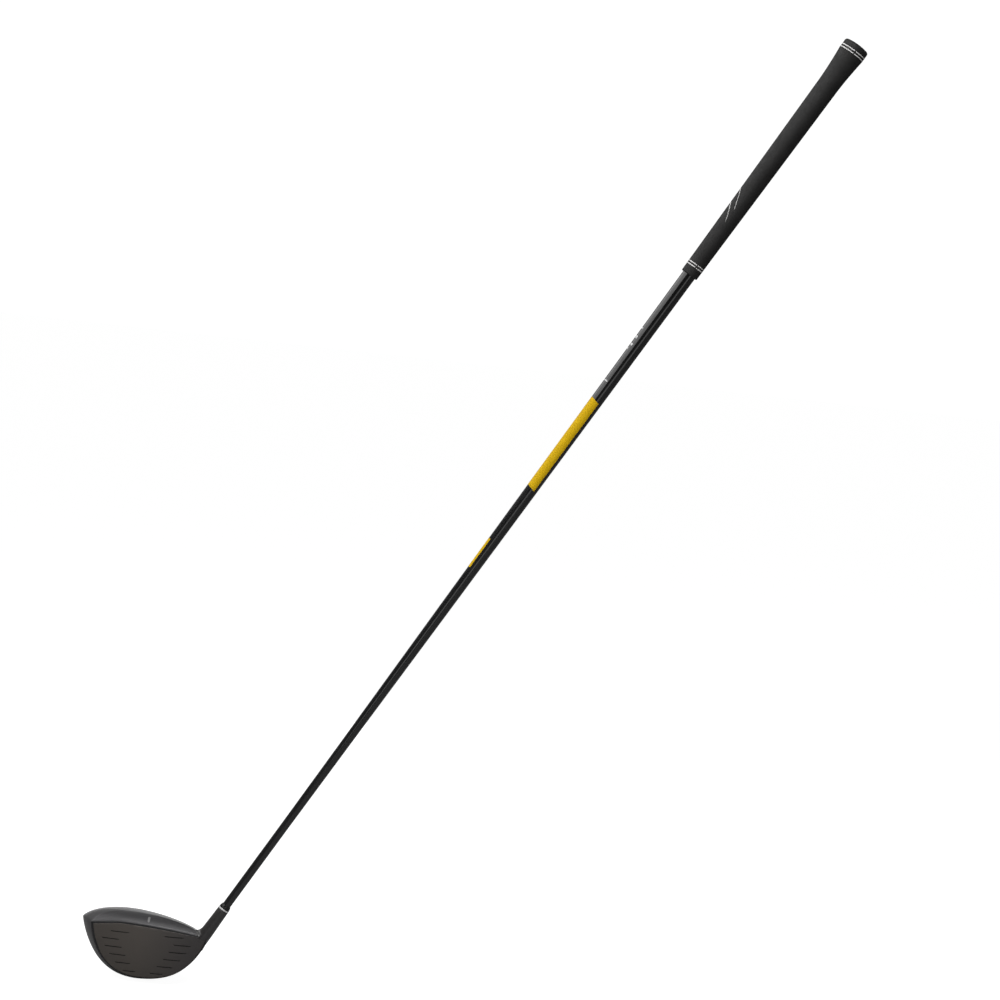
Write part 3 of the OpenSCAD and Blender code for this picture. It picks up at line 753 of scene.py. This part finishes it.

# ---- Shaft ----
# A graphite tube rolled from carbon sheet, parallel at its tip and tapering up to its butt. It is
# ground smooth and sprayed gloss black, with painted light that makes its colour lighter toward
# the tip.
club_length = 1.161
cap_floor = 0.0045
shaft_end = club_length - cap_floor
grip_length = 0.282
mouth_at = club_length - grip_length
tip_length = 0.140
taper_from = bore_bottom + tip_length
mouth_shaft_radius = 0.0071
butt_radius = 0.0076
taper_shares = (0, 0.15, 0.39, 0.57, 0.88, 1)
taper_growth = (0, 0.14, 0.45, 0.64, 0.9, 1)
taper_ups = taper_from + np.array(taper_shares) * (mouth_at - taper_from)
taper_radii = tip_radius + np.array(taper_growth) * (mouth_shaft_radius - tip_radius)
profile_ups = np.concatenate([[bore_bottom], taper_ups, [shaft_end]])
profile_radii = np.concatenate([[tip_radius], taper_radii, [butt_radius]])
tip_wall = 0.002
butt_wall = 0.0008
shaft_rows = 90


def shaft_radius(up):
    """The shaft's radius at a height up its axis, along straight lines between the taper's places."""
    return np.interp(up, profile_ups, profile_radii)


even_ups = np.linspace(bore_bottom, shaft_end, shaft_rows)
shaft_ups = np.unique(np.concatenate([even_ups, profile_ups]).round(6))
shaft_walls = np.interp(shaft_ups, [bore_bottom, shaft_end], [tip_wall, butt_wall])
shaft = turned("shaft_tube", shaft_ups, shaft_radius(shaft_ups), shaft_radius(shaft_ups) - shaft_walls)
shaft_paint, tree, shader = finish(
    "shaft_paint", (0.0035, 0.0035, 0.004), 0.3, coat=1.0, coat_roughness=0.06, specular=0.2
)
plies = noise_on(tree, 0.0012, stretch=(1, 1, 0.02), turn=(0, np.radians(-30), 0))
relief(tree, shader, plies, 0.02, 0.00002)
between(tree, noise_on(tree, 0.03), 0.26, 0.36, shader.inputs["Roughness"])
# Painted light: the black grows lighter toward the tip, standing in for the brighter reflections on the
# lower shaft.
painted_light_tip_black, butt_black = (0.014, 0.014, 0.0145), (0.002, 0.002, 0.0022)
tint(tree, along_axis(tree, "Z"), painted_light_tip_black, butt_black, shader.inputs["Base Color"], (0.1, 0.7))
shaft.data.materials.append(shaft_paint)
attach(shaft, "root")
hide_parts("shaft")

# ---- Prints on the shaft ----
# A yellow band with slanted ends, a narrow yellow bar below it and a few small pale dashes above
# it, all screen printed on the shaft in a satin ink.
print_thickness = 0.00008
band_at = 0.6695
band_length = 0.108
band_slant = np.tan(np.radians(14))
band_turns = (120, 298)
bar_gap = 0.0645
bar_length = 0.035
bar_turns = (178, 228)


def printed(name, low, high, turn_from, turn_to, slant=0.0, steps=(16, 24)):
    """A thin patch on the shaft between two heights and two turns in degrees, whose ends slope with
    the distance across the shaft."""
    turns = np.radians(np.linspace(turn_from, turn_to, steps[0] + 1))
    shares = np.linspace(0, 1, steps[1] + 1)[:, None]
    edge_drop = slant * shaft_radius((low + high) / 2) * np.cos(turns)
    ups = low - edge_drop + shares * (high - low)
    outer = on_axis(ups, shaft_radius(ups) + print_thickness, turns)
    inner = on_axis(ups, shaft_radius(ups) - print_thickness, turns)
    rings = np.concatenate([outer, inner[:, ::-1]], 1)
    return skin(name, rings, rings[0].mean(0), rings[-1].mean(0), sharp_above=30)


yellow, tree, shader = finish("yellow_print", (0.8, 0.5, 0.003), 0.5, specular=0.15)
tint(tree, noise_on(tree, 0.004), (0.78, 0.48, 0.003), (0.84, 0.53, 0.004), shader.inputs["Base Color"])
pale, tree, shader = finish("pale_print", (0.75, 0.75, 0.75), 0.45)
tint(tree, noise_on(tree, 0.001), (0.68, 0.68, 0.68), (0.8, 0.8, 0.8), shader.inputs["Base Color"])

band_low = band_at - band_length / 2
band_high = band_at + band_length / 2
bar_high = band_low - bar_gap
band = printed("yellow_band", band_low, band_high, *band_turns, band_slant, (64, 60))
bar = printed("yellow_bar", bar_high - bar_length, bar_high, *bar_turns)
for piece, node in ((band, "shaft_band"), (bar, "shaft_bar")):
    piece.data.materials.append(yellow)
    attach(piece, "root")
    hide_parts(node)

# Each dash: its height above the band, its length, and the two turns it goes between.
dash_places = (
    (0.0220, 0.0013, 186, 243),
    (0.0600, 0.0025, 184, 206),
    (0.0655, 0.0022, 200, 228),
    (0.0740, 0.0030, 190, 222),
    (0.0850, 0.0016, 184, 212),
)
for index, (up, length, turn_from, turn_to) in enumerate(dash_places):
    low = band_high + up
    dash = printed(f"dash_{index + 1}", low, low + length, turn_from, turn_to, steps=(12, 4))
    dash.data.materials.append(pale)
    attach(dash, "root")
    if index == 0:
        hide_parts("shaft_dashes")

# ---- Grip ----
# A moulded rubber sleeve slipped over paper tape, with its end cap. It swells toward the butt and
# is covered in fine crossed ribs, with smooth collars at the mouth and cap and a smooth panel.
cap_height = 0.0125
cap_at = club_length - cap_height
mouth_radius = 0.009
upper_radius = 0.011
cap_radius = 0.0135
flare_length = 0.042
flare_fullness = 0.35
cap_round = 0.0026
cap_dome = 0.0012
cap_edge = 0.0002
rim_turn = np.radians(78)
vent_radius = 0.0016
vent_edge = 0.0003
tape_thickness = 0.0003
rib_pitch = 0.0021
rib_depth = 0.00011
ribs_around = 34
mouth_round = 0.0009
mouth_seal = 0.002
sleeve_step = 0.00055
first_row = 0.0015
rib_fade = 0.001
collar_length = 0.0165
cap_collar = 0.002
panel_at = mouth_at + 0.0815
panel_reach = 0.0225
panel_turn = np.radians(225)
panel_spread = np.radians(50)
panel_fade = 0.0008


def grip_radius(up):
    """The grip from mouth to cap: a straight taper, then a flare by the square of the way up it,
    made a little fuller by what is left of the way."""
    along = np.clip((up - mouth_at) / (cap_at - flare_length - mouth_at), 0, 1)
    flare = np.clip((up - cap_at + flare_length) / flare_length, 0, 1)
    swell = flare**2 * (1 + flare_fullness * (1 - flare))
    return mouth_radius + along * (upper_radius - mouth_radius) + swell * (cap_radius - upper_radius)


def egg_crate(up, turn):
    """Raised pips in crossed rows: the product of a cosine up the grip and one around it, 0 to 1."""
    return 0.5 + 0.5 * np.cos(2 * np.pi * up / rib_pitch) * np.cos(ribs_around * turn)


def ramp(value, start, width):
    """Climbs from 0 at start to 1 a width further on."""
    return np.clip((value - start) / width, 0, 1)


sleeve_turns = np.linspace(0, 2 * np.pi, 176, endpoint=False)
mouth_curve = np.linspace(0, np.pi / 2, 6)
mouth_ups = mouth_at + mouth_round * (1 - np.cos(mouth_curve))
even_ups = np.arange(mouth_at + first_row, cap_at - cap_edge, sleeve_step)
sleeve_ups = np.concatenate([mouth_ups, even_ups, [cap_at]])
mouth_drop = mouth_round * np.concatenate([1 - np.sin(mouth_curve), np.zeros(len(even_ups) + 1)])
up_grid, turn_grid = np.meshgrid(sleeve_ups, sleeve_turns, indexing="ij")

# The ribs fade out at both collars and round the smooth panel that carries the strokes.
past_mouth = ramp(up_grid, mouth_at + collar_length, rib_fade)
before_cap = ramp(-up_grid, -cap_at + cap_collar, rib_fade)
above_panel = np.abs(up_grid - panel_at) - panel_reach
beside_panel = (np.abs(turn_grid - panel_turn) - panel_spread) * upper_radius
off_panel = ramp(np.maximum(above_panel, beside_panel), 0, panel_fade)
rib_sink = rib_depth * past_mouth * before_cap * off_panel * (1 - egg_crate(up_grid, turn_grid))
sleeve_radii = grip_radius(up_grid) - mouth_drop[:, None] - rib_sink

sleeve_bore = [
    on_axis(up, shaft_radius(up) + gap, sleeve_turns)
    for up, gap in (
        (cap_at, tape_thickness),
        (mouth_at + mouth_seal, tape_thickness),
        (mouth_at + mouth_seal, 0),
        (mouth_at, 0),
    )
]
sleeve = skin(
    "grip_rubber_sleeve",
    np.concatenate([on_axis(up_grid, sleeve_radii, turn_grid), np.stack(sleeve_bore)]),
    sharp_above=60,
)
rubber, tree, shader = finish("grip_rubber", (0.015, 0.0145, 0.0145), 0.62, specular=0.42)
relief(tree, shader, noise_on(tree, 0.0006), 0.35, 0.0002)
between(tree, noise_on(tree, 0.006), 0.55, 0.7, shader.inputs["Roughness"])
rubber_dark, rubber_light = (0.012, 0.0116, 0.0116), (0.0175, 0.017, 0.0167)
tint(tree, noise_on(tree, 0.012), rubber_dark, rubber_light, shader.inputs["Base Color"])
sleeve.data.materials.append(rubber)
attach(sleeve, "root")
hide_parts("grip_sleeve")

tape_radius = butt_radius + tape_thickness
rim_curve = np.linspace(0, rim_turn, 12)
rim_base = club_length - cap_dome - cap_round * np.sin(rim_turn)
dome_radius = cap_radius - cap_round * (1 - np.cos(rim_turn))
dome_radii = np.linspace(dome_radius, vent_radius + vent_edge, 10)[1:]
cap_ups = np.concatenate(
    [
        [cap_at, cap_at + cap_edge],
        rim_base + cap_round * np.sin(rim_curve),
        club_length - cap_dome * (dome_radii / dome_radius) ** 2,
        [club_length - vent_edge, shaft_end, shaft_end, cap_at],
    ]
)
cap_radii = np.concatenate(
    [
        [cap_radius - cap_edge, cap_radius],
        cap_radius - cap_round * (1 - np.cos(rim_curve)),
        dome_radii,
        [vent_radius, vent_radius, tape_radius, tape_radius],
    ]
)
cap_surface = np.stack([on_axis(u, r, around) for u, r in zip(cap_ups, cap_radii)])
cap = skin("grip_end_cap", cap_surface)
cap.data.materials.append(rubber)
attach(cap, "root")
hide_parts("grip_cap")

tape_paper, tree, shader = finish("tape_paper", (0.62, 0.57, 0.44), 0.8)
relief(tree, shader, noise_on(tree, 0.0003), 0.2, 0.0001)
dress("grip_tape", tape_paper)

# ---- White rings and strokes on the grip ----
# Two paint filled grooves round the mouth and two round the cap, each broken by a narrow land in
# front, and two raised strokes that climb toward the toe side.
ring_width = 0.001
mouth_ring_ups = mouth_at + np.array([0.0094, 0.0123])
cap_ring_ups = club_length - np.array([0.0081, 0.011])
paint_depth = 0.00035
paint_lift = 0.00006
ring_break = 276
ring_break_width = 0.0013
stroke_spans = ((0.0625, 0.0828), (0.0762, 0.0995))
stroke_from = 258
stroke_to = 180
stroke_width = 0.0013
stroke_lift = 0.00012
stroke_taper = 12


def painted_ring(name, up, radius):
    """A flat ring about the shaft at a height, a little proud of the grip, with a gap at one turn."""
    half_gap = np.degrees(ring_break_width / radius / 2)
    turns = np.radians(np.linspace(ring_break + half_gap, ring_break + 360 - half_gap, 121))
    ups = up + ring_width / 2 * np.array([-1, -0.8, 0.8, 1])[:, None]
    lift = paint_lift * np.array([0, 1, 1, 0])[:, None]
    outer = on_axis(ups, radius + lift, turns)
    inner = on_axis(ups, radius - paint_depth, turns)
    rings = np.concatenate([outer, inner[::-1]]).swapaxes(0, 1)
    return skin(name, rings, rings[0].mean(0), rings[-1].mean(0), sharp_above=30)


grip_paint, tree, shader = finish("grip_paint", (0.86, 0.85, 0.84), 0.5, specular=0.2)
relief(tree, shader, noise_on(tree, 0.0005), 0.1, 0.0001)
tint(tree, noise_on(tree, 0.003), (0.8, 0.79, 0.78), (0.9, 0.89, 0.88), shader.inputs["Base Color"])
for node, ups in (("mouth_rings", mouth_ring_ups), ("cap_rings", cap_ring_ups)):
    for index, up in enumerate(ups):
        radius = grip_radius(up) if up < cap_at else cap_radius
        ring = painted_ring(f"{node[:-1]}_{index + 1}", up, radius)
        ring.data.materials.append(grip_paint)
        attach(ring, "root")
        if index == 0:
            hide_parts(node)


def stroke(name, low, high):
    """A strip from low to high that climbs steeply at first and eases off by the square of what is
    left of its turn to the toe side, with ends brought to a point."""
    shares = np.linspace(0, 1, 41)
    turns = np.radians(stroke_from + (stroke_to - stroke_from) * shares)[:, None]
    from_end = np.minimum(shares, 1 - shares)
    half_width = stroke_width / 2 * np.clip(from_end * stroke_taper, 0.1, 1)[:, None]
    sides = np.array([-1, -0.6, 0, 0.6, 1, 1, -1])
    lifts = np.array([0, 0.8, 1, 0.8, 0, -1, -1]) * stroke_lift
    climb = 1 - (1 - shares[:, None]) ** 2
    ups = mouth_at + low + climb * (high - low) + half_width * sides
    rings = on_axis(ups, grip_radius(ups) + lifts, turns)
    return skin(name, rings, rings[0].mean(0), rings[-1].mean(0), sharp_above=50)


for index, (low, high) in enumerate(stroke_spans):
    strip = stroke(f"grip_stroke_{index + 1}", low, high)
    strip.data.materials.append(grip_paint)
    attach(strip, "root")
    if index == 0:
        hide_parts("grip_strokes")

# ---- Floor, lights and world ----
# A white floor and backdrop under six soft lights: a long panel high on the left, a tube low in
# front that draws a thin line down the gloss, a strong key above it, and panels behind, beside the
# toe and overhead. The floor and world glow for the camera alone, and a dim sky fills from behind.
floor_reach = 40
floor_level = -0.00005
floor_glow = 0.96
backdrop_glow = 1.05
sky_front, sky_back = 0.03, 0.25
sky_fade_from, sky_fade_to = -0.1, 0.8
floor_sides = ((-1, -1), (1, -1), (1, 1), (-1, 1))
floor_corners = [(x * floor_reach, y * floor_reach, floor_level) for x, y in floor_sides]
floor_mesh = bpy.data.meshes.new("floor")
floor_mesh.from_pydata(floor_corners, [], [(0, 1, 2, 3)])
floor = bpy.data.objects.new("floor", floor_mesh)
bpy.context.scene.collection.objects.link(floor)
floor_paint, tree, shader = finish("floor_paint", (0.4, 0.4, 0.4), 0.9, specular=0.0)
path = tree.nodes.new("ShaderNodeLightPath")
glow = tree.nodes.new("ShaderNodeMath")
glow.operation = "MULTIPLY"
glow.inputs[1].default_value = floor_glow
tree.links.new(path.outputs["Is Camera Ray"], glow.inputs[0])
tree.links.new(glow.outputs["Value"], shader.inputs["Emission Strength"])
shader.inputs["Emission Color"].default_value = (1, 1, 1, 1)
floor.data.materials.append(floor_paint)


def panel_light(name, start, end, target, width, radiance):
    """A rectangular soft light along a line from start to end, turned about it to face a target."""
    start, end, target = Vector(start), Vector(end), Vector(target)
    along = (end - start).normalized()
    middle = (start + end) / 2
    out = middle - target
    out = (out - out.dot(along) * along).normalized()
    data = bpy.data.lights.new(name, "AREA")
    data.shape = "RECTANGLE"
    data.size = (end - start).length
    data.size_y = width
    data.energy = radiance * np.pi * data.size * width
    lamp = bpy.data.objects.new(name, data)
    bpy.context.scene.collection.objects.link(lamp)
    facing = Matrix((along, out.cross(along), out)).transposed().to_4x4()
    lamp.matrix_world = Matrix.Translation(middle) @ facing
    lamp.visible_camera = False


panel_light("left_panel", (-1.2, -2.5, 1.95), (-1.2, 1.5, 1.95), (0.5, -0.5, 0.9), 0.9, 2.2)
panel_light("front_tube", (-0.9, -1.9, 0.58), (1.6, -1.8, 0.3), (0.4, 0, 0.4), 0.3, 1.1)
panel_light("key_panel", (-0.2, -1.9, 2.3), (1.0, -1.9, 2.3), (0.35, 0, 0.6), 0.8, 8)
panel_light("back_panel", (-1.0, 2.5, 0.25), (0.8, 2.5, 0.25), (0, 0, 0.07), 0.5, 1.2)
panel_light("toe_panel", (-1.5, -0.9, 0.2), (-1.5, 0.4, 0.2), (-0.06, 0, 0.03), 0.3, 2.5)
panel_light("top_panel", (-0.6, -0.5, 2.4), (0.6, -0.5, 2.4), (0, -0.5, 0), 1.2, 2.0)

world = bpy.data.worlds.new("studio")
bpy.context.scene.world = world
world.use_nodes = True
tree = world.node_tree
background = tree.nodes["Background"]
background.inputs["Color"].default_value = (1, 1, 1, 1)
place = tree.nodes.new("ShaderNodeTexCoord")
split = tree.nodes.new("ShaderNodeSeparateXYZ")
tree.links.new(place.outputs["Generated"], split.inputs["Vector"])
depth = tree.nodes.new("ShaderNodeMapRange")
depth.inputs["From Min"].default_value = sky_fade_from
depth.inputs["From Max"].default_value = sky_fade_to
depth.inputs["To Min"].default_value = sky_front
depth.inputs["To Max"].default_value = sky_back
tree.links.new(split.outputs["Y"], depth.inputs["Value"])
path = tree.nodes.new("ShaderNodeLightPath")
seen = tree.nodes.new("ShaderNodeMix")
tree.links.new(path.outputs["Is Camera Ray"], seen.inputs["Factor"])
tree.links.new(depth.outputs["Result"], seen.inputs["A"])
seen.inputs["B"].default_value = backdrop_glow
tree.links.new(seen.outputs["Result"], background.inputs["Strength"])
bpy.context.scene.view_settings.view_transform = "Standard"
